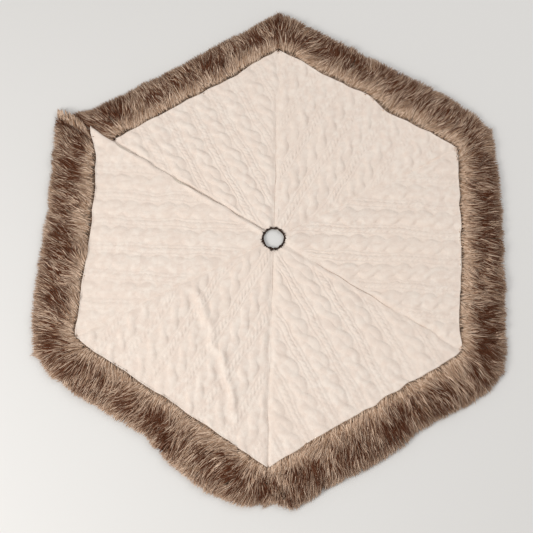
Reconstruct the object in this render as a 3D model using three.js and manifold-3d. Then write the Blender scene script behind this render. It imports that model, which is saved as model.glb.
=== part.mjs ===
// Hexagonal tree skirt: six cable-knit gores with a faux-fur border, lined, with a closing slit.
// Millimetres, +Z up. The origin is the centre of the trunk hole, on the floor.
// One corner points to +Y. Every gore with its border and lining is one panel, folding at its seams.

import * as THREE from 'three';
import Module from 'manifold-3d';

const wasm = await Module();
wasm.setup();
const { Manifold } = wasm;

// ---- driving dimensions ----

const acrossCorners = 1220;      // over the fur, corner to corner
const borderWidth = 88;          // fur band, measured square to a side
const holeDiameter = 48;         // trunk hole
const facingWidth = 2.5;         // turned-in strip around the trunk hole

const liningThickness = 1.2;
const panelThickness = 8;        // cable-knit plush with its wadding
const furHeight = 20;            // pile height above the lining
const furShoulder = 14;          // how far the top of the pile rounds in
const layerGap = 0.3;            // between pieces that lie on each other
const seamGap = 0.8;             // between pieces sewn edge to edge

const lapWidth = 5;              // the over flap's edge, past the slit's line
const lapClearance = 3;          // beside the lap, so that both flaps can lift
const furSlitInset = 3;          // from the slit's line to the fur on the over flap
const underlapWidth = 28;        // strip on the under flap that lies below the over flap
const underlapStart = 95;        // its distance from the centre
const underlapStop = 38;         // from its outer end to the plush's corner
const underlapClearance = 4;

const closureCount = 3;
const tapeLength = 50;
const tapeWidth = 18;
const tapeThickness = 1;

const labelLength = 45;
const labelWidth = 28;
const labelThickness = 0.5;

// ---- what follows from them ----

const half = Math.PI / 6;                                   // half a gore's angle
const outerApothem = (acrossCorners / 2) * Math.cos(half);
const innerApothem = outerApothem - borderWidth;
const holeRadius = holeDiameter / 2;
const panelInnerRadius = holeRadius + facingWidth + seamGap;

const panelBottom = liningThickness + layerGap;
const panelTop = panelBottom + panelThickness;
const loopBottom = liningThickness + layerGap;
const hookBottom = loopBottom + tapeThickness + layerGap;
const lapBottom = hookBottom + tapeThickness + layerGap;
const underlapRoom = underlapWidth + underlapClearance;
const underlapEnd = innerApothem / Math.cos(half) - underlapStop;
const closurePitch = (underlapEnd - underlapStart) / closureCount;
const labelX = innerApothem - labelLength;

// ---- materials ----

function fabric(colour, roughness = 0.95) {
  return new THREE.MeshStandardMaterial({ color: colour, roughness, metalness: 0 });
}

const plush = fabric(0xece0d2);
const fauxFur = fabric(0xa98c70);
const liningCloth = fabric(0xe4d8c6);
const facingCloth = fabric(0x5a4030);
const tape = fabric(0xd8cbb8, 0.8);
const labelCloth = fabric(0xf4f0ea, 0.7);

// ---- shapes ----

// Outlines lie in a gore's own frame, its middle line along +X and its seams at -30 and +30
// degrees. insets.low and insets.high move an edge from its seam line into the gore.

function arcBetweenSeams(radius, insets, steps = 4) {
  const low = Math.asin(insets.low / radius) - half;
  const high = half - Math.asin(insets.high / radius);
  return Array.from({ length: steps + 1 }, (_, step) => {
    const angle = THREE.MathUtils.lerp(low, high, step / steps);
    return new THREE.Vector2(radius * Math.cos(angle), radius * Math.sin(angle));
  });
}

function sideEnds(x, insets) {
  return [
    new THREE.Vector2(x, (insets.low - x * Math.sin(half)) / Math.cos(half)),
    new THREE.Vector2(x, (x * Math.sin(half) - insets.high) / Math.cos(half)),
  ];
}

function goreOutline(innerRadius, outerX, insets) {
  return [...sideEnds(outerX, insets), ...arcBetweenSeams(innerRadius, insets).reverse()];
}

function ringOutline(innerRadius, outerRadius, insets) {
  return [...arcBetweenSeams(outerRadius, insets), ...arcBetweenSeams(innerRadius, insets).reverse()];
}

function prism(points, bottom, top) {
  const geometry = new THREE.ExtrudeGeometry(new THREE.Shape(points), {
    depth: top - bottom,
    bevelEnabled: false,
  });
  return geometry.translate(0, 0, bottom);
}

function cut(geometry, tool) {
  return toGeometry(toManifold(geometry).subtract(toManifold(tool)));
}

function toManifold(geometry) {
  const merged = geometry.index ? geometry.toNonIndexed() : geometry;
  const vertProperties = new Float32Array(merged.attributes.position.array);
  const triVerts = new Uint32Array(vertProperties.length / 3).map((_, index) => index);
  const mesh = new wasm.Mesh({ numProp: 3, vertProperties, triVerts });
  mesh.merge();
  return Manifold.ofMesh(mesh);
}

function toGeometry(solid) {
  const mesh = solid.getMesh();
  const geometry = new THREE.BufferGeometry();
  geometry.setAttribute('position', new THREE.BufferAttribute(new Float32Array(mesh.vertProperties), 3));
  geometry.setIndex(new THREE.BufferAttribute(new Uint32Array(mesh.triVerts), 1));
  return geometry;
}

// A strip along a seam line: from start to end outwards, and from near to far into the gore.
function seamStrip(side, start, end, near, far, bottom, top) {
  const geometry = new THREE.BoxGeometry(end - start, Math.abs(far - near), top - bottom);
  geometry.translate((start + end) / 2, -side * (near + far) / 2, (bottom + top) / 2);
  return geometry.rotateZ(side * half);
}

// The fur band of one side: upright at its foot, rounded in towards its top, with mitred ends.
function furBand(insets) {
  const rings = [
    { share: 0, trim: 0 },
    { share: 0.45, trim: 0 },
    { share: 0.8, trim: furShoulder * 0.4 },
    { share: 1, trim: furShoulder },
  ];
  const corners = rings.flatMap(({ share, trim }) => {
    const z = panelBottom + share * furHeight;
    const edges = [innerApothem + layerGap + trim, outerApothem - trim];
    return edges.flatMap((x) => sideEnds(x, insets).map((end) => [end.x, end.y, z]));
  });
  return toGeometry(Manifold.hull(corners));
}

// ---- pieces ----

// Gores in turn from the right-hand one, anticlockwise. The slit is the seam between back_left,
// the under flap, and left, the over flap.
const places = ['right', 'back_right', 'back_left', 'left', 'front_left', 'front_right'];
const overFlap = 'left';
const underFlap = 'back_left';

function edgeInsets(place, atSeam, atOverFlap, atUnderFlap) {
  return {
    low: place === overFlap ? atOverFlap : atSeam,
    high: place === underFlap ? atUnderFlap : atSeam,
  };
}

function facePanel(place) {
  const insets = edgeInsets(place, seamGap / 2, -lapWidth, lapWidth + lapClearance);
  const body = prism(goreOutline(panelInnerRadius, innerApothem, insets), panelBottom, panelTop);
  if (place !== overFlap) {
    return body;
  }
  const recess = seamStrip(-1, 0, acrossCorners, -2 * lapWidth, underlapRoom, 0, lapBottom);
  return cut(body, recess);
}

function lining(place) {
  const insets = edgeInsets(place, seamGap / 2, underlapRoom, seamGap / 2);
  const innerRadius = Math.max(holeRadius, 1.2 * insets.low);
  const body = prism(goreOutline(innerRadius, outerApothem, insets), 0, liningThickness);
  if (place !== underFlap) {
    return body;
  }
  const depth = labelThickness + layerGap;
  const pocket = new THREE.BoxGeometry(labelLength + seamGap, labelWidth + seamGap, 2 * depth);
  return cut(body, pocket.translate(labelX, 0, 0));
}

function furBorder(place) {
  return furBand(edgeInsets(place, seamGap / 2, furSlitInset, lapWidth + seamGap));
}

function holeFacing(place) {
  const insets = edgeInsets(place, seamGap / 2, lapClearance / 2, lapClearance / 2);
  return prism(ringOutline(holeRadius, holeRadius + facingWidth, insets), panelBottom, panelTop);
}

function underlap() {
  return seamStrip(1, underlapStart, underlapEnd, -seamGap, -underlapWidth, 0, liningThickness);
}

function careLabel() {
  const geometry = new THREE.BoxGeometry(labelLength, labelWidth, labelThickness);
  return geometry.translate(labelX, 0, labelThickness / 2);
}

// Tape number count on one flap. side is the seam it follows and across its direction from there.
function closureTape(count, side, across, bottom) {
  const middle = underlapStart + (count - 0.5) * closurePitch;
  const near = (underlapWidth - tapeWidth) / 2;
  const ends = [middle - tapeLength / 2, middle + tapeLength / 2];
  return seamStrip(side, ...ends, across * near, across * (near + tapeWidth), bottom, bottom + tapeThickness);
}

// ---- the skirt ----

const skirt = new THREE.Group();

function addPiece(parent, name, geometry, material) {
  const mesh = new THREE.Mesh(geometry, material);
  mesh.name = name;
  parent.add(mesh);
}

places.forEach((place, index) => {
  const gore = new THREE.Group();
  gore.rotation.z = index * 2 * half;
  skirt.add(gore);

  addPiece(gore, `${place}_panel`, facePanel(place), plush);
  addPiece(gore, `${place}_lining`, lining(place), liningCloth);
  addPiece(gore, `${place}_fur_border`, furBorder(place), fauxFur);
  addPiece(gore, `${place}_hole_facing`, holeFacing(place), facingCloth);

  if (place === underFlap) {
    addPiece(gore, 'underlap', underlap(), liningCloth);
    addPiece(gore, 'care_label', careLabel(), labelCloth);
  }
  for (let count = 1; count <= closureCount; count += 1) {
    if (place === underFlap) {
      addPiece(gore, `loop_tape_${count}`, closureTape(count, 1, -1, loopBottom), tape);
    }
    if (place === overFlap) {
      addPiece(gore, `hook_tape_${count}`, closureTape(count, -1, 1, hookBottom), tape);
    }
  }
});

export default skirt;
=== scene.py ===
# %% [markdown]
# # A hexagonal tree skirt
# The skirt lies flat on the floor: six gores of ivory cable-knit plush round a small trunk hole,
# with a deep band of long faux fur along every side. Two gores meet in a slit that overlaps, so
# the skirt can be laid round a tree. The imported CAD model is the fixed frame; every soft solid in
# it is replaced here by a piece with its real surface.

# %% Load the frame
import math

import bmesh
import bpy
import numpy as np
from mathutils import Matrix, Vector


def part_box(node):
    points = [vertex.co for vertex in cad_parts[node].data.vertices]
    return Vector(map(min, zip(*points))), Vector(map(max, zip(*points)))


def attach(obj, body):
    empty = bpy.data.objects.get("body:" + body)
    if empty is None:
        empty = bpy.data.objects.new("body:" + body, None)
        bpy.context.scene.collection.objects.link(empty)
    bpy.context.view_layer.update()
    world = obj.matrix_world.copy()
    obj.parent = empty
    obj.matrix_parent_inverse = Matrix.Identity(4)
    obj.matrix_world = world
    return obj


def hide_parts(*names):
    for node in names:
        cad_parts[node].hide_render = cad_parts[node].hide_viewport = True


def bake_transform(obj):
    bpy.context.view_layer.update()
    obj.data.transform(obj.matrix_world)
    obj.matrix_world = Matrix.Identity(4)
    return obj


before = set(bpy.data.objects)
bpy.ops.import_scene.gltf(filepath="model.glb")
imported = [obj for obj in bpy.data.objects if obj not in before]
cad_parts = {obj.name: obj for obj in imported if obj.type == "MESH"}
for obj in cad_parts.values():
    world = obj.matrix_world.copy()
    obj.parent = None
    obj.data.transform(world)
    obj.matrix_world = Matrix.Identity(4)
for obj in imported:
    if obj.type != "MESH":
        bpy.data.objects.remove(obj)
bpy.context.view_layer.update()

# %% [markdown]
# ## Sizes
# Everything follows from the CAD pieces. The gores are numbered anticlockwise from the right-hand
# one. Each is modelled once in its own flat frame, with its middle line along +X, and then turned
# into place, so the same code makes all six. Lengths inside the shape formulas are millimetres,
# because a sewer thinks in them, and MM turns them into metres.

# %% Sizes from the frame
MM = 0.001
HALF = math.pi / 6
PLACES = ["right", "back_right", "back_left", "left", "front_left", "front_right"]
OVER_FLAP = "left"
UNDER_FLAP = "back_left"

panel_low, panel_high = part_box("right_panel")
lining_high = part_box("right_lining")[1]
fur_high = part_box("right_fur_border")[1]
PANEL_APOTHEM = panel_high.x / MM
OUTER_APOTHEM = fur_high.x / MM
BAND = OUTER_APOTHEM - PANEL_APOTHEM
PANEL_BOTTOM = panel_low.z / MM
PANEL_TOP = panel_high.z / MM
LINING_TOP = lining_high.z / MM
FUR_TOP = fur_high.z / MM
HOLE_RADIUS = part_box("right_hole_facing")[0].x / MM / math.cos(HALF)
FINE = 1
print(f"plush to {PANEL_APOTHEM:.0f} mm, fur {BAND:.0f} mm wide, hole radius {HOLE_RADIUS:.0f} mm")


def turn_of(place):
    return PLACES.index(place) * 2 * HALF


# %% [markdown]
# ## Camera, floor and light
# The camera stands above the front edge and looks steeply down, turned slightly, as a person
# holding a phone over the skirt would. The floor is a plain pale sheet. One large soft light hangs
# to the front left, low enough to bring out the knit, with a weaker one opposite and a pale sky.

# %% Camera
CAMERA_PLACE = Vector((-0.071, -0.827, 2.175))
CAMERA_RIGHT = Vector((0.99891, 0.02951, 0.03617))
CAMERA_UP = Vector((-0.03976, 0.94386, 0.32795))
LENS = 67.08

camera_data = bpy.data.cameras.new("camera")
camera_data.lens = LENS
camera_data.sensor_width = 36
camera_data.clip_end = 20
camera = bpy.data.objects.new("camera", camera_data)
camera_back = CAMERA_RIGHT.cross(CAMERA_UP).normalized()
camera_turn = Matrix((CAMERA_RIGHT, CAMERA_UP, camera_back)).transposed()
camera.matrix_world = Matrix.Translation(CAMERA_PLACE) @ camera_turn.to_4x4()
bpy.context.scene.collection.objects.link(camera)
bpy.context.scene.camera = camera


# %% Floor and lights
def soft_light(name, place, size, power, colour=(1, 1, 1)):
    data = bpy.data.lights.new(name, "AREA")
    data.shape = "DISK"
    data.size = size
    data.energy = power
    data.color = colour
    light = bpy.data.objects.new(name, data)
    light.location = place
    light.rotation_euler = (-Vector(place)).to_track_quat("-Z", "Y").to_euler()
    bpy.context.scene.collection.objects.link(light)
    return light


soft_light("key", (-2.1, -1.6, 1.8), 1.3, 55, (1, 0.985, 0.965))
soft_light("fill", (1.8, 1.6, 2.4), 2.4, 25, (0.985, 0.99, 1))

world = bpy.data.worlds.new("pale_sky")
world.use_nodes = True
world.node_tree.nodes["Background"].inputs["Color"].default_value = (1, 1, 1, 1)
world.node_tree.nodes["Background"].inputs["Strength"].default_value = 0.55
bpy.context.scene.world = world
bpy.context.scene.view_settings.view_transform = "Standard"

# %% [markdown]
# ## Shader maths
# A material's pattern is a formula, so it is written as one. Value wraps a node's socket and turns
# Python's operators into Math nodes. Finish makes a material and its other nodes.


# %% Value and Finish
class Value:
    """A socket that can stand in a Python expression."""

    def __init__(self, finish, socket):
        self.finish = finish
        self.socket = socket

    def math(self, operation, *others):
        return self.finish.node("ShaderNodeMath", {"operation": operation}, [self, *others])

    def __add__(self, other):
        return self.math("ADD", other)

    def __rsub__(self, other):
        return self.finish.node("ShaderNodeMath", {"operation": "SUBTRACT"}, [other, self])

    def __mul__(self, other):
        return self.math("MULTIPLY", other)

    __radd__ = __add__
    __rmul__ = __mul__

    def between(self, low, high):
        """0 below low, 1 above high, and a smooth rise between them."""
        settings = {"interpolation_type": "SMOOTHSTEP"}
        return self.finish.node("ShaderNodeMapRange", settings, [self, low, high, 0, 1])


class Finish:
    """A material with its Principled shader, and a way to add nodes to it."""

    def __init__(self, name, roughness, sheen=0.0, sheen_tint=(1, 1, 1), specular=0.3):
        self.material = bpy.data.materials.new(name)
        self.material.use_nodes = True
        self.tree = self.material.node_tree
        self.shader = self.tree.nodes["Principled BSDF"]
        self.shader.inputs["Roughness"].default_value = roughness
        self.shader.inputs["Sheen Weight"].default_value = sheen
        self.shader.inputs["Sheen Tint"].default_value = (*sheen_tint, 1)
        self.shader.inputs["Specular IOR Level"].default_value = specular

    def node(self, kind, settings=None, inputs=(), output=0):
        """A node with its settings made first, then its inputs: a list by place or a dict by name."""
        made = self.tree.nodes.new(kind)
        for name, value in (settings or {}).items():
            setattr(made, name, value)
        pairs = inputs.items() if isinstance(inputs, dict) else enumerate(inputs)
        for name, value in pairs:
            self.put(made.inputs[name], value)
        return Value(self, made.outputs[output])

    def put(self, socket, value):
        if isinstance(value, Value):
            self.tree.links.new(value.socket, socket)
        else:
            socket.default_value = value

    def place(self):
        """The point on the piece, in metres."""
        return self.node("ShaderNodeTexCoord", output="Object")

    def attribute(self, name, output="Fac"):
        return self.node("ShaderNodeAttribute", {"attribute_name": name}, output=output)

    def noise(self, vector, scale, detail=2.0, roughness=0.5):
        inputs = {"Vector": vector, "Scale": scale, "Detail": detail, "Roughness": roughness}
        return self.node("ShaderNodeTexNoise", inputs=inputs)

    def blend(self, share, first, second):
        settings = {"data_type": "RGBA"}
        return self.node("ShaderNodeMix", settings, {0: share, 6: first, 7: second}, output=2)

    def colour(self, value):
        self.put(self.shader.inputs["Base Color"], value)

    def bump(self, height, distance, strength=1.0):
        inputs = {"Strength": strength, "Distance": distance, "Height": height}
        normal = self.node("ShaderNodeBump", inputs=inputs)
        self.tree.links.new(normal.socket, self.shader.inputs["Normal"])


def rgb(red, green, blue):
    """A colour as a dyer's chart gives it, 0 to 255, made linear for the shader."""
    def linear(part):
        share = part / 255
        return share / 12.92 if share <= 0.04045 else ((share + 0.055) / 1.055) ** 2.4

    return (linear(red), linear(green), linear(blue), 1)


# %% [markdown]
# ## Floor
# A plain pale sheet under the skirt. It isn't part of the object.

# %% Make the floor
floor_finish = Finish("pale_floor", 0.9)
floor_finish.colour(rgb(226, 224, 221))
floor_mesh = bpy.data.meshes.new("floor")
floor_work = bmesh.new()
bmesh.ops.create_grid(floor_work, x_segments=1, y_segments=1, size=6)
bmesh.ops.translate(floor_work, verts=floor_work.verts, vec=(0, 0, -0.0004))
floor_work.to_mesh(floor_mesh)
floor_work.free()
floor_mesh.materials.append(floor_finish.material)
floor = bpy.data.objects.new("floor", floor_mesh)
bpy.context.scene.collection.objects.link(floor)

# %% [markdown]
# ## Finishes
# Plush is a short, dense, upright pile: no gloss, a soft bright rim, and a skin of tiny tufts that
# lie a little differently from place to place. Faux fur is far longer. Each lock is pale with a
# dark part in its middle, and how dark depends on where it grows, so its finish reads attributes
# of the lock: how far along it a point is, how dark it is, and a pick that no two share. Part of
# that dark is painted shade: at the roots, where the pile parts and where one flap's fur lies over
# the other's.


# %% Cable plush
def plush_finish(name):
    finish = Finish(name, 0.95, sheen=0.25, sheen_tint=(1, 0.95, 0.9), specular=0.1)
    point = finish.place()
    tufts = finish.noise(point, 620, 3, 0.6)
    brushed = finish.noise(point, 70, 3, 0.55)
    wide = finish.noise(point, 5, 2)
    warm = finish.blend(brushed.between(0.3, 0.72), rgb(231, 214, 201), rgb(240, 227, 215))
    finish.colour(finish.blend(wide.between(0.35, 0.7) * 0.45, warm, rgb(237, 220, 206)))
    finish.bump(tufts * 0.6 + brushed * 0.8, 0.0016, 0.5)
    return finish.material


# %% Faux fur
def fur_finish(name):
    finish = Finish(name, 0.7, specular=0.12)
    along = finish.attribute("along_lock")
    dark = finish.attribute("lock_dark")
    pick = finish.attribute("lock_pick")
    light = finish.blend(pick, rgb(234, 207, 183), rgb(168, 134, 107))
    # Painted shade: each lock is darkened towards its root, where the depth of the pile is in shadow.
    painted_root_shade = (1 - along.between(0.0, 0.32)) * (dark * 0.8 + 0.02)
    light = finish.blend(painted_root_shade, light, rgb(112, 76, 54))
    reach = along.between(0.08, 0.4) * (1 - along.between(0.84, 1.05) * 0.45)
    # The deep brown is the fur's own colour in the middle of the band, and painted shade where the pile
    # parts and at the under flap's end.
    finish.colour(finish.blend(dark * reach, light, rgb(98, 57, 36)))
    return finish.material


# %% Fur backing
def backing_finish(name):
    finish = Finish(name, 0.95, specular=0.05)
    shade = finish.noise(finish.place(), 90, 3)
    # The backing's browns are painted shade: the shadow deep between the locks.
    finish.colour(finish.blend(shade.between(0.3, 0.7), rgb(96, 66, 47), rgb(150, 118, 92)))
    finish.bump(shade, 0.002, 0.8)
    return finish.material


# %% Woven cloth
def woven_finish(name, first, second, fineness=1400.0, roughness=0.85):
    """A plain weave: threads run both ways, over and under, with a little unevenness."""
    finish = Finish(name, roughness, sheen=0.08, specular=0.2)
    point = finish.place()
    parts = [finish.node("ShaderNodeSeparateXYZ", inputs=[point], output=axis) for axis in (0, 1)]
    across, down = [(part * fineness).math("SINE") * 0.5 + 0.5 for part in parts]
    slub = finish.noise(point, 160, 2)
    weave = across * down + (1 - across) * (1 - down)
    finish.colour(finish.blend(weave * 0.35 + slub.between(0.35, 0.7) * 0.5, first, second))
    finish.bump(weave * 0.7 + slub * 0.3, 0.0003, 0.6)
    return finish.material


# %% Make the finishes
plush = plush_finish("ivory_cable_plush")
fur = fur_finish("brown_tipped_fur")
fur_backing = backing_finish("fur_backing")
lining_cloth = woven_finish("cream_lining", rgb(226, 214, 196), rgb(240, 230, 215))
# The facing's near-black browns are partly its own colour and partly painted shade, for the shadow
# inside the trunk hole.
facing_cloth_and_shade = woven_finish("dark_facing_and_shade", rgb(42, 28, 20), rgb(66, 46, 34), 1900)
tape_cloth = woven_finish("closure_tape", rgb(222, 209, 190), rgb(238, 228, 212), 2600, 0.7)
label_cloth = woven_finish("label_satin", rgb(242, 239, 233), rgb(250, 248, 244), 3000, 0.55)
thread = woven_finish("cream_thread", rgb(228, 216, 198), rgb(240, 230, 214), 5000, 0.6)

# %% [markdown]
# ## Helpers for soft surfaces
# Small unevenness makes cloth look like cloth. soft_noise is a smooth random height over a plane,
# the same on every run because its lattice comes from a seeded generator. smooth is the usual
# soft step.


# %% Noise, steps and pieces
def soft_noise(x, y, scale, seed):
    """A smooth random height, about -1 to 1, that changes over scale millimetres."""
    lattice = np.random.default_rng(seed).uniform(-1, 1, (64, 64))
    column, row = x / scale, y / scale
    left, low = np.floor(column).astype(int), np.floor(row).astype(int)
    u, v = column - left, row - low
    u, v = u * u * (3 - 2 * u), v * v * (3 - 2 * v)

    def corner(right, up):
        return lattice[(left + right) % 64, (low + up) % 64]

    bottom = corner(0, 0) * (1 - u) + corner(1, 0) * u
    top = corner(0, 1) * (1 - u) + corner(1, 1) * u
    return bottom * (1 - v) + top * v


def smooth(value, low, high):
    share = np.clip((value - low) / (high - low), 0, 1)
    return share * share * (3 - 2 * share)


def mesh_of(name, work):
    """A mesh from a bmesh, which is used up."""
    mesh = bpy.data.meshes.new(name)
    work.to_mesh(mesh)
    work.free()
    return mesh


def link(name, mesh, body, material):
    mesh.materials.append(material)
    piece = bpy.data.objects.new(name, mesh)
    bpy.context.scene.collection.objects.link(piece)
    if body:
        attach(piece, body)
    return piece


# %% [markdown]
# ## How it lies
# Nobody lays cloth out as a perfect hexagon. LIE says how far, in millimetres, each side's two
# edges lie outside their drawn lines, at nine even steps anticlockwise along the side. The fur
# spreads widest towards the front corner, and the under flap is drawn in under the over flap.
# Points move outwards from the centre, so neighbours stay together. WAVE and WOBBLE are how far the
# cloth also drifts over long and short stretches.

# %% The lie of each side
LIE = {
    "right": {"plush": [-5, -8, -5, 0, 0, 2, 1, 1, 0], "fur": [-3, 8, 9, 12, 14, 14, 10, 8, -2]},
    "back_right": {"plush": [0, 0, -5, -8, 6, 0, -4, -2, -7],
                   "fur": [-2, 14, 24, 21, 16, 10, 7, 5, -2]},
    "back_left": {"plush": [-7, -6, -18, -23, -26, -30, -34, -37, -39],
                  "fur": [-2, -3, -4, -16, -23, -24, -29, -26, -22]},
    "left": {"plush": [9, -9, -15, -13, -13, -8, -5, -3, 0],
             "fur": [14, 5, 3, 0, 5, 9, 11, 11, -4]},
    "front_left": {"plush": [0, 3, 4, 8, 8, 11, 12, 17, 18],
                   "fur": [-4, 14, 20, 15, 13, 36, 43, 36, 2]},
    "front_right": {"plush": [18, 15, 13, 10, 8, 6, 4, 1, -5],
                    "fur": [2, 36, 33, 35, 32, 20, 18, 20, -3]},
}
FUR_SHARE = OUTER_APOTHEM / PANEL_APOTHEM
WAVE = 2.6
WOBBLE = 2.2


def between_steps(values, along):
    """A smooth line through even steps, at along from -1 to 1."""
    place = (np.clip(along, -1, 1) + 1) / 2 * (len(values) - 1)
    left = np.clip(np.floor(place).astype(int), 0, len(values) - 2)
    share = place - left
    share = share * share * (3 - 2 * share)
    steps = np.array(values, float)
    return steps[left] * (1 - share) + steps[left + 1] * share


def rotated(x, y, angle):
    return x * math.cos(angle) - y * math.sin(angle), x * math.sin(angle) + y * math.cos(angle)


def turned(x, y, place):
    """A point of a gore's own frame, in the skirt's frame."""
    return rotated(x, y, turn_of(place))


def seam_gaps(x, y):
    """How far a point of a gore's own frame is from the gore's two seams, clockwise one first."""
    return x * math.sin(HALF) + y * math.cos(HALF), x * math.sin(HALF) - y * math.cos(HALF)


def lay(x, y, place):
    """Where a point of a gore's own drawn frame really lies, in the skirt's frame."""
    x, y = np.array(x, float), np.array(y, float)
    along = y / np.maximum(x, 1) / math.tan(HALF)
    ring = x / PANEL_APOTHEM
    plush_out = between_steps(LIE[place]["plush"], along)
    fur_out = between_steps(LIE[place]["fur"], along)
    in_fur = np.clip((ring - 1) / (FUR_SHARE - 1), 0, 1.2)
    out = plush_out * np.clip(ring, 0, 1) ** 1.5 + (fur_out - plush_out) * in_fur
    stretch = 1 + out / np.maximum(x, 1)
    x, y = turned(x * stretch, y * stretch, place)
    wave, wobble = WAVE * smooth(ring, 0.5, 1.0), WOBBLE * smooth(ring, 0.1, 0.3)
    lain_x = x + wave * soft_noise(x, y, 105, 31) + wobble * soft_noise(x, y, 26, 33)
    lain_y = y + wave * soft_noise(x, y, 105, 32) + wobble * soft_noise(x, y, 26, 34)
    return lain_x, lain_y


def lay_seam(distance, across, number):
    """The same for a point near seam number, across millimetres anticlockwise of it."""
    low_x, low_y = lay(*rotated(distance, across, HALF), PLACES[number])
    high_x, high_y = lay(*rotated(distance, across, -HALF), PLACES[(number + 1) % 6])
    return np.where(across < 0, low_x, high_x), np.where(across < 0, low_y, high_y)


def along_slit(distance, across):
    """A point by the slit, across millimetres from it under the over flap, in the skirt's frame."""
    return rotated(distance, across, turn_of(UNDER_FLAP) + HALF)


# %% [markdown]
# ## The knit
# The plush is embossed to look like hand knitting. Broad two-ply cables run from the trunk hole
# straight out to the side. Between them run narrow ribs: two thin ridges with a small rope
# between. A two-ply rope's surface is a pair of round plies that swing from side to side and over
# and under each other, half a turn apart, so its height is a formula with no modelling by hand.
# KNIT_DRIFT is how far the columns wander, as soft cloth never lies quite straight.


# %% Ropes and ribs
KNIT_PITCH = 68.0
CABLE = {"reach": 9.0, "radius": 12.0, "twist": 88.0, "rise": 2.9, "sway": 1.0}
BRAID = {"reach": 2.6, "radius": 4.2, "twist": 27.0, "rise": 1.4, "sway": 0.5}
RIDGE_PLACE = 10.0
RIDGE_WIDTH = 2.4
RIDGE_RISE = 1.0
KNIT_DRIFT = 3.4


def rope(x, y, reach, radius, twist, rise, sway):
    """How high a two-ply rope along x stands over the cloth. Its plies go round once in a twist."""
    height = np.zeros_like(x)
    for half_turn in (0, math.pi):
        angle = 2 * math.pi * x / twist + half_turn
        beside = (y - reach * np.sin(angle)) / radius
        round_top = np.clip(1 - beside ** 2, 0, 1)
        ply = round_top ** 0.75 * (rise + sway * np.cos(angle))
        height = np.maximum(height, ply)
    return height


def knit(x, y, shift):
    """The embossed pattern's height. shift moves the columns sideways on the gore."""
    y = y + KNIT_DRIFT * soft_noise(x, y, 48, 91) + 0.4 * KNIT_DRIFT * soft_noise(x, y, 17, 92)
    x = x + 2 * KNIT_DRIFT * soft_noise(x, y, 60, 93)
    column = (y + shift) / KNIT_PITCH
    number = np.round(column)
    stagger = 19.0 * number
    cable = rope(x + stagger, (column - number) * KNIT_PITCH, **CABLE)
    rib_number = np.floor(column)
    rib_y = (column - rib_number - 0.5) * KNIT_PITCH
    braid = rope(x + 7.0 * rib_number, rib_y, **BRAID)
    ridges = RIDGE_RISE * np.exp(-(((np.abs(rib_y) - RIDGE_PLACE) / RIDGE_WIDTH) ** 2))
    worn = 0.82 + 0.18 * soft_noise(x, y, 34, 94)
    return worn * np.maximum(np.maximum(cable, braid), ridges)


# %% [markdown]
# ## Creases
# The skirt has been folded and laid out by hand, so a few soft creases stay in it. Each is a low
# ridge with a shallow hollow beside it. A row of CREASES has its start and its end in the skirt's
# own frame, then its height and its width.

# %% The creases
CREASES = [
    ((-182, -128), (-112, -275), 4.4, 11),
    ((-116, -265), (-66, -412), 3.8, 9),
    ((-252, -160), (-214, -150), 1.8, 12),
    ((76, -62), (330, -168), 2.8, 8),
    ((-345, 262), (-190, 118), 2.2, 9),
    ((40, 80), (62, 330), 1.2, 14),
    ((-300, -60), (-420, -110), 1.2, 16),
    ((210, 60), (420, 70), 1.0, 14),
]


def creases(x, y):
    height = np.zeros_like(x)
    for start, end, rise, width in CREASES:
        line = np.subtract(end, start)
        length = np.hypot(*line)
        along = ((x - start[0]) * line[0] + (y - start[1]) * line[1]) / length
        beside = ((x - start[0]) * line[1] - (y - start[1]) * line[0]) / length
        beside = beside + 6 * np.sin(along / 38.0) + 3 * np.sin(along / 13.0)
        fade = smooth(along, -25, 35) * (1 - smooth(along, length - 35, length + 25))
        share = beside / width
        height += rise * fade * (np.exp(-share ** 2) - 0.6 * np.exp(-(share - 1.7) ** 2))
    return height


# %% [markdown]
# ## Gores of cable plush
# A gore is a fan: from the rim of the trunk hole to the straight line where the fur starts. It
# starts as one square grid from Blender, whose columns are bent onto that fan, so that the seams,
# the rim and the outer edge are all exact. Its outermost row of faces turns down all round, as the
# cloth does at a seam. Then each point is lifted by the knit, the creases and a slight swell.
# Close to a seam the cloth is pulled down and puckers. KNIT_LOFT is how proud each gore's knit
# stands. The over flap laps the slit by LAP with a soft raised lip, and its tip is a small tongue
# that lies on top of the under flap's fur.

# %% Gore sizes
GORE_ALONG = 210 // FINE
GORE_ACROSS = 190 // FINE
SWELL = PANEL_TOP - 4.6
SEAM_DEPTH = 2.2
SEAM_REACH = 12.0
RIM_RADIUS = HOLE_RADIUS + 2.0
GORE_EDGE = PANEL_APOTHEM + 2
LAP = 5.0
UNDER_DIP = 4.2
FUR_SEAM_REACH = 5.0
FUR_SEAM_LEVEL = 8.4
LIP_PLACE = 7.0
LIP_RISE = 3.0
LAP_FOOT = 4.4
TONGUE_OUT = 1.0
TONGUE_OVER = 2.0
TONGUE_LIFT = 8.5
KNIT_SHIFTS = [4, 30, 12, -6, 22, -18]
KNIT_LOFT = [1.8, 1.5, 1.25, 1.1, 1.3, 1.2]


def fan(along, across, inner, outer, low_inset=0.0, high_inset=0.0):
    """Bends shares 0..1 along and across onto a gore's outline, in millimetres."""
    angle_low = -HALF + np.arcsin(np.clip(low_inset / np.maximum(inner, 30.0), -1, 1))
    angle_high = HALF - np.arcsin(np.clip(high_inset / np.maximum(inner, 30.0), -1, 1))
    start_angle = angle_low + (angle_high - angle_low) * across
    start_x, start_y = inner * np.cos(start_angle), inner * np.sin(start_angle)
    end_low = (low_inset - outer * math.sin(HALF)) / math.cos(HALF)
    end_high = (outer * math.sin(HALF) - high_inset) / math.cos(HALF)
    end_y = end_low + (end_high - end_low) * across
    return start_x + (outer - start_x) * along, start_y + (end_y - start_y) * along


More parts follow.
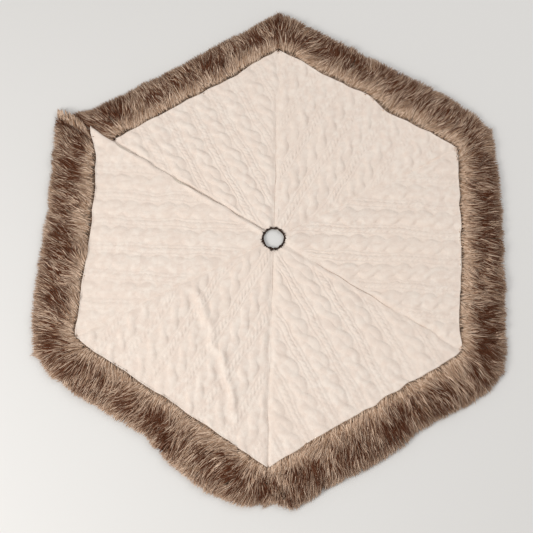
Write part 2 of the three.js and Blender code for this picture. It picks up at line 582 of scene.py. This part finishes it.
def rim_shape(across, place):
    """The plush's edge round the hole is snipped, so that it turns in: small teeth and two cuts."""
    seed = PLACES.index(place)
    angle = across * 60.0
    teeth = 0.9 * soft_noise(angle * 3.0, angle * 0 + seed * 7.0, 11.0, 41 + seed)
    teeth = teeth + 0.7 * soft_noise(angle * 3.0, angle * 0 + seed, 5.0, 61 + seed)
    cuts = 0
    for where in (10 + 4 * (seed % 3), 47 - 5 * (seed % 2)):
        cuts = cuts + 4.0 * np.exp(-(((angle - where) / 2.6) ** 2))
    return RIM_RADIUS + teeth + cuts


def square_grid(along_count, across_count):
    """A square grid in a bmesh, with its points' shares along and across as arrays."""
    work = bmesh.new()
    bmesh.ops.create_grid(work, x_segments=along_count, y_segments=across_count, size=0.5)
    flat = np.array([vert.co[:2] for vert in work.verts]) + 0.5
    return work, flat[:, 0], flat[:, 1]


def gore_grid(name, along_count, across_count):
    """A grid's mesh with a map for baking, and its points' shares along and across."""
    work, along, across = square_grid(along_count, across_count)
    uv = work.loops.layers.uv.new("OFBake")
    for face in work.faces:
        for loop in face.loops:
            loop[uv].uv = loop.vert.co.xy + Vector((0.5, 0.5))
    return mesh_of(name, work), along, across


def set_points(mesh, x, y, z, place):
    """Puts a mesh's points where a gore's own frame has them, laid as the cloth lies."""
    x, y = lay(x, y, place)
    points = np.column_stack([x, y, z]) * MM
    mesh.vertices.foreach_set("co", points.astype(np.float32).ravel())
    mesh.polygons.foreach_set("use_smooth", [True] * len(mesh.polygons))
    mesh.update()


def make_gore(place):
    number = PLACES.index(place)
    mesh, along, across = gore_grid(f"{place}_plush", GORE_ALONG, GORE_ACROSS)
    border_along, border_across = 1.01 / GORE_ALONG, 1.01 / GORE_ACROSS
    wall = (along < border_along) | (along > 1 - border_along)
    wall |= (across < border_across) | (across > 1 - border_across)
    along = np.clip((along - border_along) / (1 - 2 * border_along), 0, 1)
    across = np.clip((across - border_across) / (1 - 2 * border_across), 0, 1)
    low_inset = -LAP if place == OVER_FLAP else 0.1
    high_inset = 0.6 if place == UNDER_FLAP else 0.1
    x, y = fan(along, across, rim_shape(across, place), GORE_EDGE, low_inset, high_inset)
    if place == OVER_FLAP:
        from_edge = seam_gaps(x, y)[0] + LAP
        lap_wave = 2.4 * np.sin(np.hypot(x, y) / 31.0) + 1.4 * np.sin(np.hypot(x, y) / 13.0 + 1.0)
        fade = smooth(x, 40, 110) * (1 - smooth(x, 380, 440))
        y = y + (lap_wave + 2.0) * (1 - smooth(from_edge, 0, 45)) * fade
        tip = smooth(x, 380, 425) * (1 - smooth(from_edge, 6, 34))
        x, y = x + TONGUE_OUT * tip, y - TONGUE_OVER * tip
    low_gap, high_gap = seam_gaps(x, y)
    low_gap = low_gap + max(0, -low_inset)
    to_seam = np.minimum(low_gap, high_gap)
    world_x, world_y = turned(x, y, place)
    radius = np.hypot(x, y)

    embossed = KNIT_LOFT[number] * knit(x, y, KNIT_SHIFTS[number])
    height = SWELL + embossed * (0.25 + 0.75 * smooth(to_seam, 3, 16))
    height += 1.3 * soft_noise(world_x, world_y, 120, 5) + 0.7 * soft_noise(world_x, world_y, 38, 6)
    height += 0.35 * soft_noise(world_x, world_y, 9, 7)
    height += creases(world_x, world_y)
    pucker = np.sin(radius / 9.0 + 2.2 * np.sin(radius / 31.0) + number) * np.exp(-to_seam / 16)
    height += 1.1 * pucker * smooth(to_seam, 1, 7)
    height -= SEAM_DEPTH * (1 - smooth(to_seam, 0, SEAM_REACH)) ** 2
    height -= 1.6 * (1 - smooth(radius, RIM_RADIUS, RIM_RADIUS + 14))
    fur_seam = 1 - smooth(GORE_EDGE - x, 0, FUR_SEAM_REACH)
    height += (FUR_SEAM_LEVEL - height) * fur_seam
    if place == OVER_FLAP:
        lip = np.exp(-(((low_gap - LIP_PLACE) / 6.0) ** 2))
        height += SEAM_DEPTH * (1 - smooth(low_gap, 0, SEAM_REACH)) ** 2 * (low_gap < high_gap)
        height += (LIP_RISE + 1.3 * np.sin(radius / 27.0)) * lip - 1.4 * (1 - smooth(low_gap, 0, 4))
        height += TONGUE_LIFT * tip
    if place == UNDER_FLAP:
        height -= UNDER_DIP * (1 - smooth(high_gap, 2, 16))
    height = np.maximum(height, PANEL_BOTTOM + 0.6)
    foot = np.where((place == OVER_FLAP) & (low_gap < 3), LAP_FOOT, PANEL_BOTTOM)
    height = np.where(wall, foot, height)
    set_points(mesh, x, y, height, place)
    piece = link(f"{place}_plush_gore", mesh, f"{place}_gore", plush)
    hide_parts(f"{place}_panel")


for place in PLACES:
    make_gore(place)

# %% [markdown]
# ## Faux fur
# Long pile can't be a texture: its outline is ragged and every lock casts a shadow. One lock is
# modelled with Blender's operators as a thin three-sided spike, cut into rings so that it can
# bend. Thousands of copies are then rooted at random over the band and bent by formula: they rise
# from the cloth, lean outwards, swirl with their neighbours and gather towards common tips, as
# brushed fur does. At the outer edge they turn down to the floor, so the band ends in a soft roll.
# Near a corner they fan out along its mitre.

# %% One lock
LOCK_CUTS = 3


def model_lock():
    """A spike along +X from 0 to 1, one unit thick at its root, as points and faces."""
    work = bmesh.new()
    bmesh.ops.create_cone(work, cap_ends=True, segments=3, radius1=0.5, radius2=0.02, depth=1)
    bmesh.ops.rotate(work, verts=work.verts, matrix=Matrix.Rotation(math.pi / 2, 3, "Y"))
    bmesh.ops.translate(work, verts=work.verts, vec=(0.5, 0, 0))
    for cut in range(1, LOCK_CUTS):
        geometry = work.verts[:] + work.edges[:] + work.faces[:]
        bmesh.ops.bisect_plane(work, geom=geometry, plane_co=(cut / LOCK_CUTS, 0, 0), plane_no=(1, 0, 0))
    bmesh.ops.triangulate(work, faces=work.faces)
    work.verts.index_update()
    points = np.array([vert.co for vert in work.verts])
    faces = np.array([[vert.index for vert in face.verts] for face in work.faces])
    work.free()
    return points, faces


lock_points, lock_faces = model_lock()
lock_sides = lock_points[lock_faces][:, :, 0].max(axis=1) > 0.01

# %% [markdown]
# NAP says which way each side was brushed: the turn of its locks from straight outwards, in
# radians, anticlockwise. DENTS are places where the pile parts and its depth is in shadow, there
# painted as shade on lowered locks, each as a distance out, a distance along the side and a reach.
# CORNER_PARTING is how deeply the pile parts over each mitre, anticlockwise from the one after the
# right side; the parting is darkened with painted shade. BAND_ROOTS is how far out the locks are
# rooted, and a SEAM_SHARE of them stands in the fur's inner seam instead, at SEAM_ROOTS. BARE has
# no locks, to leave room for the tip of the over flap. FLAP_END is how far the band stops short of
# the slit and of a closed seam. The end of the fur at the over flap's slit is turned in: a pale
# roll along the slit, with painted shade for the dark parting beside it. The under flap's fur end,
# below the over flap's fur, is darkened with painted shadow.

# %% Fur sizes
LOCKS = 9400 // FINE ** 2
LOCK_LENGTH = (24.0, 40.0)
LOCK_WIDTH = (1.6, 3.2)
LOCK_HEIGHT = 11.0
CLUMP = 8.0
NAP = {"right": -0.05, "back_right": -0.18, "back_left": -0.1, "left": -0.5, "front_left": -0.2,
       "front_right": -0.3}
DENTS = {
    "right": [(500, 20, 8), (490, -220, 10), (478, 120, 8)],
    "back_right": [(513, -37, 11), (474, 77, 8), (471, -214, 9), (505, 190, 9)],
    "back_left": [(483, -19, 10), (462, -109, 12), (496, 150, 12), (474, 215, 10)],
    "left": [(500, 75, 10), (512, -170, 9), (470, -40, 9)],
    "front_left": [(528, 44, 8), (519, 47, 7), (510, 50, 7), (501, 54, 6), (493, 59, 5), (492, 200, 9),
                   (463, 262, 12), (505, -120, 9)],
    "front_right": [(495, -247, 14), (512, -160, 9), (480, -90, 8), (500, 205, 9)],
}
CORNER_PARTING = [0.2, 0.9, 0.0, 0.2, 0.35, 0.2]
FLAP_END = {"over": 3.0, "under": 4.0, "seam": 0.3}
BAND_ROOTS = (PANEL_APOTHEM - 3, OUTER_APOTHEM - 9)
SEAM_ROOTS = (PANEL_APOTHEM - 3, PANEL_APOTHEM + 4)
SEAM_SHARE = 0.07
BARE = {"out": PANEL_APOTHEM + 8, "from_slit": 16.0}
ROLL = {"width": 22.0, "parting": 13.0, "heading": -1.25}


def band_insets(place):
    """How far a side's band stops short of its two seams."""
    low = FLAP_END["over"] if place == OVER_FLAP else FLAP_END["seam"]
    high = FLAP_END["under"] if place == UNDER_FLAP else FLAP_END["seam"]
    return low, high


def root_places(count, rng, inset_low, inset_high):
    """Random roots over the band, as places along and across the side, in millimetres."""
    reach = OUTER_APOTHEM * math.tan(HALF)
    x, y = np.empty(0), np.empty(0)
    while len(x) < count:
        try_x = rng.uniform(*BAND_ROOTS, count)
        at_seam = rng.uniform(0, 1, count) < SEAM_SHARE
        try_x = np.where(at_seam, rng.uniform(*SEAM_ROOTS, count), try_x)
        try_y = rng.uniform(-reach, reach, count)
        low_gap, high_gap = seam_gaps(try_x, try_y)
        bare = (try_x < BARE["out"]) & (low_gap < BARE["from_slit"]) & (inset_low > 1)
        inside = (low_gap > inset_low) & (high_gap > inset_high) & ~bare
        x, y = np.append(x, try_x[inside]), np.append(y, try_y[inside])
    return x[:count], y[:count]


def lock_plan(place, rng):
    """Where each lock of a side is rooted, which way it lies, how big and how dark it is."""
    root_x, root_y = root_places(LOCKS, rng, *band_insets(place))
    low_gap, high_gap = seam_gaps(root_x, root_y)
    across = (root_x - PANEL_APOTHEM) / BAND
    world_x, world_y = turned(root_x, root_y, place)
    pick, fleck = rng.uniform(0, 1, LOCKS), rng.uniform(0, 1, LOCKS)
    length = rng.uniform(*LOCK_LENGTH, LOCKS) * (1 - 0.35 * smooth(across, 0.6, 1.0))

    corner_share = root_y / (root_x * math.tan(HALF))
    mitre = np.sign(root_y) * smooth(np.abs(corner_share), 0.72, 1.0) * HALF * 0.95
    corner_gap = np.minimum(low_gap, high_gap)
    number = PLACES.index(place)
    depth = np.where(root_y > 0, CORNER_PARTING[number], CORNER_PARTING[number - 1])
    parted = depth * np.exp(-((corner_gap / 4.5) ** 2))
    swirl = 0.36 * soft_noise(world_x, world_y, 75, 20) + 0.42 * soft_noise(world_x, world_y, 30, 21)
    swirl = swirl + 0.34 * soft_noise(world_x, world_y, 12, 22)
    heading = mitre + NAP[place] * (1 - np.abs(mitre)) + swirl + rng.normal(0, 0.12, LOCKS)

    patch = 0.6 * soft_noise(world_x, world_y, 30, 26) + 0.5 * soft_noise(world_x, world_y, 13, 27)
    middle = smooth(across, -0.02, 0.22) * (1 - 0.66 * smooth(across, 0.52, 0.84))
    dark = smooth(middle * (0.5 + 0.46 * patch) + 0.9 * (fleck - 0.5), 0.14, 0.66)
    dark = dark * (0.25 + 0.75 * middle)
    top = LOCK_HEIGHT * (0.74 + 0.3 * soft_noise(world_x, world_y, 42, 25)) + rng.normal(0, 1.3, LOCKS)

    # Painted shade: the locks darken where the pile parts over a mitre.
    dark = np.clip(dark + 0.9 * parted, 0, 1)
    top = top * (1 - 0.5 * parted)
    # Painted shade: each dent darkens its locks, as its depth is in shadow.
    for dent_x, dent_y, reach in DENTS[place]:
        away_x, away_y = root_x - dent_x, root_y - dent_y
        near = np.exp(-(away_x ** 2 + away_y ** 2) / (2 * (0.6 * reach) ** 2))
        dark = np.clip(dark + 1.3 * near, 0, 1)
        top = top * (1 - 0.6 * near)
        heading = heading + near * 0.7 * np.sign(away_y)
    if place == OVER_FLAP:
        roll = 1 - smooth(low_gap, ROLL["width"] - 3, ROLL["width"] + 1)
        roll = roll * smooth(root_x, PANEL_APOTHEM + 4, PANEL_APOTHEM + 14)
        # Painted shade: the dark parting between the roll and the rest of the pile.
        parting = np.exp(-(((low_gap - ROLL["width"] - 4) / (0.5 * ROLL["parting"])) ** 2))
        heading = heading * (1 - roll) + ROLL["heading"] * roll
        length = length * (1 - 0.45 * roll)
        dark = np.clip(dark * (1 - 0.95 * roll) + parting, 0, 1)
        top = top * (1 - 0.75 * parting)
        length = length * (1 - 0.4 * parting)
    # Painted shadow: the under flap's fur end, below the over flap's fur, is darkened.
    if place == UNDER_FLAP:
        end = 1 - smooth(high_gap, 4, 34)
        dark = np.clip(dark + 0.6 * end, 0, 1)
        top = top * (1 - 0.45 * end)
    return root_x, root_y, across, heading, length, np.clip(top, 1.5, None), dark, pick


def make_fur(place):
    number = PLACES.index(place)
    rng = np.random.default_rng(700 + number)
    root_x, root_y, across, heading, length, top, dark, pick = lock_plan(place, rng)
    width = rng.uniform(*LOCK_WIDTH, LOCKS)

    tip_x, tip_y = root_x + length * np.cos(heading), root_y + length * np.sin(heading)
    clump_x = (np.floor(tip_x / CLUMP) + 0.5) * CLUMP + 4 * soft_noise(tip_x, tip_y, 40, 23)
    clump_y = (np.floor(tip_y / CLUMP) + 0.5) * CLUMP + 5 * soft_noise(tip_x, tip_y, 30, 24)
    gather = rng.uniform(0.2, 0.7, LOCKS) * (1 - 0.5 * smooth(across, 0.6, 0.9))
    tip_x = tip_x + (clump_x - tip_x) * gather
    tip_y = tip_y + (clump_y - tip_y) * gather
    edge = OUTER_APOTHEM + 1.5 + 2.2 * soft_noise(root_y, root_y * 0 + number, 16, 28)
    tip_x = np.minimum(tip_x, edge + rng.normal(0, 1.9, LOCKS))

    droop = smooth(across, 0.5, 0.95)
    tip_rise = top * (0.82 - 0.92 * droop) + rng.normal(0, 1.2, LOCKS)
    top = top * (0.55 + 0.45 * smooth(across, -0.02, 0.16))
    foot = 5.2 + 2.4 * smooth(across, -0.03, 0.12) - 4.6 * smooth(across, 0.5, 1.0)

    share = lock_points[:, 0][None, :]
    bow = np.sin(share * math.pi * 0.62) / math.sin(math.pi * 0.62)
    centre_x = root_x[:, None] + (tip_x - root_x)[:, None] * share
    side_swing = rng.normal(0, 1.8, LOCKS)[:, None] * np.sin(share * math.pi)
    centre_y = root_y[:, None] + (tip_y - root_y)[:, None] * share + side_swing
    centre_z = foot[:, None] + top[:, None] * bow * (1 - share) + tip_rise[:, None] * share ** 1.4
    centre_z = np.maximum(centre_z, 0.6 + 0.8 * (1 - share))

    direction_x, direction_y = np.cos(heading)[:, None], np.sin(heading)[:, None]
    flat = lock_points[:, 1][None, :] * width[:, None] * 1.15
    thick = lock_points[:, 2][None, :] * width[:, None] * 0.8
    belly = 1 + 0.5 * np.sin(share * math.pi)
    x = centre_x - direction_y * flat * belly
    y = centre_y + direction_x * flat * belly
    z = np.clip(centre_z + thick * belly, 0.3, FUR_TOP + 5)

    mesh = bpy.data.meshes.new(f"{place}_fur")
    point_count = len(lock_points)
    faces = lock_faces[None, :, :] + (np.arange(LOCKS) * point_count)[:, None, None]
    faces = faces.reshape(-1, 3)
    mesh.vertices.add(LOCKS * point_count)
    mesh.loops.add(faces.size)
    mesh.polygons.add(len(faces))
    mesh.loops.foreach_set("vertex_index", faces.ravel().astype(np.int32))
    mesh.polygons.foreach_set("loop_start", np.arange(0, faces.size, 3, dtype=np.int32))
    set_points(mesh, x.ravel(), y.ravel(), z.ravel(), place)
    mesh.polygons.foreach_set("use_smooth", np.tile(lock_sides, LOCKS))

    ones = np.ones((1, point_count))
    along_lock = np.repeat(share, LOCKS, 0)
    values = {"along_lock": along_lock, "lock_dark": dark[:, None] * ones,
              "lock_pick": pick[:, None] * ones}
    for name, value in values.items():
        layer = mesh.attributes.new(name, "FLOAT", "POINT")
        layer.data.foreach_set("value", value.astype(np.float32).ravel())

    columns = math.ceil(math.sqrt(LOCKS))
    cell = np.arange(LOCKS)
    cell_u, cell_v = (cell % columns)[:, None], (cell // columns)[:, None]
    lock_u = (cell_u + 0.5 + (lock_points[:, 1] + 0.35 * lock_points[:, 2])[None, :] * 0.8) / columns
    lock_v = (cell_v + 0.08 + 0.84 * share) / columns
    uv = np.stack([lock_u, lock_v], -1).reshape(-1, 2)[faces.ravel()]
    layer = mesh.uv_layers.new(name="OFBake")
    layer.data.foreach_set("uv", uv.astype(np.float32).ravel())
    mesh.validate()
    mesh.update()
    piece = link(f"{place}_fur_pile", mesh, f"{place}_gore", fur)
    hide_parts(f"{place}_fur_border")
    return piece


furs = {place: make_fur(place) for place in PLACES}

# %% [markdown]
# ## Fur backing
# The pile is knitted into a cloth. It shows only as a dark depth between locks, so it is a plain
# low arch in the fur's shadow colours: the band's outline, coming down to the floor outside.

# %% Make the backing
BACKING_TOP = 7.0
BACKING_WIDTH = BAND - 13


def make_backing(place):
    mesh, along, across = gore_grid(f"{place}_backing", 24, 60)
    inset_low, inset_high = band_insets(place)
    x = GORE_EDGE + BACKING_WIDTH * along
    low = (inset_low - x * math.sin(HALF)) / math.cos(HALF)
    high = (x * math.sin(HALF) - inset_high) / math.cos(HALF)
    y = low + (high - low) * across
    crown = np.sin((0.1 + 0.9 * along) * math.pi) ** 0.6
    height = PANEL_BOTTOM + (BACKING_TOP - PANEL_BOTTOM) * crown
    set_points(mesh, x, y, height, place)
    piece = link(f"{place}_fur_backing", mesh, f"{place}_gore", fur_backing)


for place in PLACES:
    make_backing(place)

# %% [markdown]
# ## Lining
# A plain cream cloth closes the underside of each gore, out to just inside the fur's edge. A grid
# is laid on the gore's outline, given its thickness by solidify, and lifted a little here and
# there, as loose cloth on a floor is. Over the care label it stands clear of it. The over flap's
# lining stops short of the slit, where a hem takes over, to leave room for the under flap.

# %% Cloth with a thickness
LINING_EDGE = 9.0
LINING_THICKNESS = 0.5
FLAP_ROOM = 32.0
LABEL = {"x": PANEL_APOTHEM - 45.0, "length": 45.0, "width": 28.0, "thickness": 0.5}


def slab(name, along_count, across_count, place_point, thickness):
    """A sheet of cloth on a grid. place_point gives each point from its shares along and across."""
    work, along, across = square_grid(along_count, across_count)
    for vert, point in zip(work.verts, np.column_stack(place_point(along, across)) * MM):
        vert.co = point
    bmesh.ops.recalc_face_normals(work, faces=work.faces)
    if work.faces[0].normal.z > 0:
        bmesh.ops.reverse_faces(work, faces=work.faces)
    bmesh.ops.solidify(work, geom=work.faces[:], thickness=thickness * MM)
    bmesh.ops.recalc_face_normals(work, faces=work.faces)
    for face in work.faces:
        face.smooth = True
    return mesh_of(name, work)


def make_lining(place):
    def point(along, across):
        low_inset = FLAP_ROOM if place == OVER_FLAP else 0.4
        inner = np.maximum(HOLE_RADIUS + 0.3 + 0 * along, 1.2 * low_inset)
        x, y = fan(along, across, inner, OUTER_APOTHEM - LINING_EDGE, low_inset, 0.4)
        world_x, world_y = lay(x, y, place)
        z = 0.30 + 0.22 * soft_noise(world_x, world_y, 60, 51)
        if place == UNDER_FLAP:
            beside_x = np.abs(x - LABEL["x"]) - LABEL["length"] / 2
            beside = np.maximum(beside_x, np.abs(y) - LABEL["width"] / 2)
            z = np.maximum(z, (LABEL["thickness"] + 0.1) * (1 - smooth(beside, 2, 9)))
        return world_x, world_y, z

    mesh = slab(f"{place}_lining", 70 // FINE, 60 // FINE, point, LINING_THICKNESS)
    piece = link(f"{place}_lining_sheet", mesh, f"{place}_gore", lining_cloth)
    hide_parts(f"{place}_lining")
    edge = OUTER_APOTHEM - LINING_EDGE
    width, length = 2 * edge * math.tan(HALF) * MM, edge * MM
    width * length / 2


for place in PLACES:
    make_lining(place)

# %% [markdown]
# ## Seams
# Each of the five closed seams is a hinge, and cloth runs across it. A narrow strip of plush lies
# in the valley of each seam, and a strip of lining below it, across the two gores.

# %% Seam strips
STRIP_REACH = 7.0
STRIP_LEVEL = SWELL - SEAM_DEPTH - 0.2


def seam_strip(number, name, far, cloth, level, slope, wave):
    """A strip across seam number, from the hole's edge out to far."""
    near = RIM_RADIUS + 2.5

    def point(along, across):
        distance, beside = near + (far - near) * along, STRIP_REACH * (2 * across - 1)
        x, y = lay_seam(distance, beside, number)
        z = level - slope * np.abs(beside) + wave * soft_noise(distance, beside, 17, 55 + number)
        return x, y, z

    first, second = PLACES[number], PLACES[(number + 1) % 6]
    mesh = slab(name, 90 // FINE, 8, point, 0.25)
    piece = link(name, mesh, None, cloth)
    middle, turn = (near + far) / 2, turn_of(first) + HALF
    for beside in (-STRIP_REACH, STRIP_REACH):
        x, y = rotated(middle, beside, turn)
        x * MM
        y * MM
    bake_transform(piece)
    (far - near) * MM


plush_corner = PANEL_APOTHEM / math.cos(HALF)
fur_corner = OUTER_APOTHEM / math.cos(HALF)
for seam_number, first_place in enumerate(PLACES):
    if first_place == UNDER_FLAP:
        continue
    pair = f"{first_place}_to_{PLACES[(seam_number + 1) % 6]}"
    seam_strip(seam_number, f"{pair}_plush_seam", plush_corner - 6, plush,
               STRIP_LEVEL, 0.12, 0.15)
    seam_strip(seam_number, f"{pair}_lining_seam", fur_corner - 24, lining_cloth,
               0.2, 0.0, 0.08)

# %% [markdown]
# ## Rim of the trunk hole
# A dark facing binds the hole. Its dark colour is partly the facing's own and partly painted
# shade, for the shadow inside the hole. It stands in the hole, rolls over the plush's edge and ends
# in a snipped, frayed edge on top of it. TEETH are the longest snips, as an angle and a length, and
# TOOTH_REACH is half a snip's width in degrees. FACING_PROFILE is the roll's section, from the hem
# inside the hole to the frayed edge: out from the hole's edge, up, and its share of each snip.

# %% The facing
TEETH = [(-97, 6), (-80, 5), (-160, 5), (2, 5), (27, 2), (52, 2), (80, 3), (104, 3), (128, 3),
         (150, 2), (-40, 2), (-125, 2), (-62, 2), (170, 2), (-8, 2), (38, 1)]
TOOTH_REACH = 6.5
FACING_PROFILE = [(3.0, 1.7, 0.0), (0.2, 1.8, 0.0), (-0.6, 4.2, 0.0), (0.4, 6.0, 0.0),
                  (1.4, 6.5, 0.15), (1.9, 6.4, 0.7), (2.2, 6.1, 1.0), (1.9, 4.6, 0.9)]


def make_facing(place):
    mesh, along, across = gore_grid(f"{place}_facing", 150 // FINE, len(FACING_PROFILE) - 1)
    step = np.round(across * (len(FACING_PROFILE) - 1)).astype(int)
    out, height, share = np.array(FACING_PROFILE).T[:, step]
    local = (along * 2 - 1) * (HALF - 0.012)
    degrees = np.degrees(local + turn_of(place))
    still = np.zeros_like(degrees)
    tooth = 0.7 * np.abs(soft_noise(degrees, still, 2.6, 71)) + 0.6 * soft_noise(degrees, still, 9, 72)
    for middle, long in TEETH:
        away = np.abs((degrees - middle + 180) % 360 - 180)
        tooth = tooth + long * np.clip(1 - away / TOOTH_REACH, 0, 1)
    inward = 1.3 * soft_noise(degrees, still, 14, 73) - 0.7
    radius = HOLE_RADIUS + out + tooth * share + inward * (1 - share) * (out < 1.3)
    height = height + 0.5 * soft_noise(degrees, still, 7, 74) * (height > 4)
    set_points(mesh, radius * np.cos(local), radius * np.sin(local), height, place)
    piece = link(f"{place}_facing_rim", mesh, f"{place}_gore", facing_cloth_and_shade)
    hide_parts(f"{place}_hole_facing")


for place in PLACES:
    make_facing(place)

# %% [markdown]
# ## The closure
# A strip of lining sewn to the under flap lies below the over flap. Three loop tapes on it meet
# three hook tapes on a hem under the over flap. A tape is a short woven band with rounded corners
# and its edges sewn down.

# %% Underlap and hem
UNDERLAP = {"start": 95.0, "end": plush_corner - 38.0, "width": 28.0}
HEM = {"start": 42.0, "end": plush_corner - 8, "low": -3.5, "high": FLAP_ROOM + 2}
TAPE = {"length": 50.0, "width": 18.0, "thickness": 1.0, "count": 3}
LOOP_BOTTOM = LINING_TOP + 0.3
HOOK_BOTTOM = LOOP_BOTTOM + TAPE["thickness"] + 0.3
HEM_BOTTOM = HOOK_BOTTOM + TAPE["thickness"] + 0.05


def slit_strip(name, near, far, first, last, level, thickness, place, cloth):
    """A strip of cloth along the slit, on one flap."""
    def point(along, across):
        distance = near + (far - near) * along
        x, y = along_slit(distance, first + (last - first) * across)
        return x, y, level + 0.08 * soft_noise(x, y, 30, 61)

    mesh = slab(name, 80, 8, point, thickness)
    return link(name, mesh, f"{place}_gore", cloth)


underlap = slit_strip("underlap_strip", UNDERLAP["start"], UNDERLAP["end"], 0.8, UNDERLAP["width"],
                      0.25, 0.8, UNDER_FLAP, lining_cloth)
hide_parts("underlap")
underlap_length = UNDERLAP["end"] - UNDERLAP["start"]
hem = slit_strip("over_flap_hem", HEM["start"], HEM["end"], HEM["low"], HEM["high"], HEM_BOTTOM, 0.3,
                 OVER_FLAP, lining_cloth)


# %% Tapes and label
def band(name, length, width, thickness, rounding):
    """A short flat band round the origin, its corners rounded and its faces left crisp."""
    work = bmesh.new()
    bmesh.ops.create_cube(work, size=1)
    bmesh.ops.scale(work, verts=work.verts, vec=Vector((length, width, thickness)) * MM)
    upright = [edge for edge in work.edges if abs(edge.verts[0].co.z - edge.verts[1].co.z) > 0]
    bmesh.ops.bevel(work, geom=upright, offset=rounding * MM, segments=4, profile=0.5, affect="EDGES")
    rim = [edge for edge in work.edges if abs(edge.verts[0].co.z - edge.verts[1].co.z) < 1e-7]
    bmesh.ops.bevel(work, geom=rim, offset=0.2 * thickness * MM, segments=2, profile=0.5, affect="EDGES")
    return mesh_of(name, work)


def band_at(name, size, x, y, z, turn, place, cloth, node):
    mesh = band(name, *size)
    mesh.transform(Matrix.Translation((x * MM, y * MM, z * MM)) @ Matrix.Rotation(turn, 4, "Z"))
    piece = link(name, mesh, f"{place}_gore", cloth)
    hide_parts(node)


tape_size = (TAPE["length"], TAPE["width"], TAPE["thickness"] - 0.1, 2.0)
slit_turn = turn_of(UNDER_FLAP) + HALF
pitch = underlap_length / TAPE["count"]


def tape_middle(count):
    return along_slit(UNDERLAP["start"] + (count - 0.5) * pitch, UNDERLAP["width"] / 2)


for count in range(1, TAPE["count"] + 1):
    tape_x, tape_y = tape_middle(count)
    for kind, place, bottom in (("loop", UNDER_FLAP, LOOP_BOTTOM), ("hook", OVER_FLAP, HOOK_BOTTOM)):
        middle = bottom + TAPE["thickness"] / 2
        band_at(f"{kind}_band_{count}", tape_size, tape_x, tape_y, middle, slit_turn, place,
                tape_cloth, f"{kind}_tape_{count}")

label_x, label_y = turned(LABEL["x"], 0.0, UNDER_FLAP)
label_size = (LABEL["length"], LABEL["width"], LABEL["thickness"], 1.0)
band_at("care_label_satin", label_size, label_x, label_y, LABEL["thickness"] / 2, turn_of(UNDER_FLAP),
        UNDER_FLAP, label_cloth, "care_label")

# %% [markdown]
# ## Stitches
# Rows of short stitches hold the tapes and run along the lining's outer edge. A stitch is a round
# bead drawn out along its row, lying half in the cloth.

# %% Sew the rows
STITCH = {"length": 3.2, "pitch": 4.6, "thickness": 0.5}
ROW_INSET = 2.0


def stitch_rows(name, corners, level, place, closed=True):
    """Stitches along straight lines between corners, all at one level."""
    work = bmesh.new()
    follow = corners[1:] + corners[:1] if closed else corners[1:]
    for start, end in zip(corners, follow):
        line = Vector(end) - Vector(start)
        number = max(1, int(line.length / STITCH["pitch"]))
        for index in range(number):
            middle = Vector(start) + line * ((index + 0.5) / number)
            made = bmesh.ops.create_icosphere(work, subdivisions=1, radius=0.5)
            stretch = Vector((STITCH["length"], STITCH["thickness"], STITCH["thickness"])) * MM
            bmesh.ops.scale(work, verts=made["verts"], vec=stretch)
            spin = Matrix.Rotation(math.atan2(line.y, line.x), 3, "Z")
            bmesh.ops.rotate(work, verts=made["verts"], matrix=spin)
            bmesh.ops.translate(work, verts=made["verts"], vec=Vector((*middle, level)) * MM)
    link(name, mesh_of(name, work), f"{place}_gore", thread)


def box_corners(centre, length, width, turn):
    corners = []
    for side_x, side_y in ((-1, -1), (1, -1), (1, 1), (-1, 1)):
        x, y = rotated(side_x * length / 2, side_y * width / 2, turn)
        corners.append((centre[0] + x, centre[1] + y))
    return corners


for count in range(1, TAPE["count"] + 1):
    row = box_corners(tape_middle(count), TAPE["length"] - 2 * ROW_INSET,
                      TAPE["width"] - 2 * ROW_INSET, slit_turn)
    loop_level = LOOP_BOTTOM + TAPE["thickness"] - 0.05
    stitch_rows(f"loop_stitches_{count}", row, loop_level, UNDER_FLAP)
    stitch_rows(f"hook_stitches_{count}", row, HOOK_BOTTOM + 0.05, OVER_FLAP)

for place in PLACES:
    far = OUTER_APOTHEM - LINING_EDGE - 5
    half_side = far * math.tan(HALF) - 6
    row = [(far, -half_side + step * half_side / 6) for step in range(13)]
    laid = [tuple(float(value) for value in lay(np.array(x), np.array(y), place)) for x, y in row]
    stitch_rows(f"{place}_hem_stitches", laid, 0.12, place, closed=False)
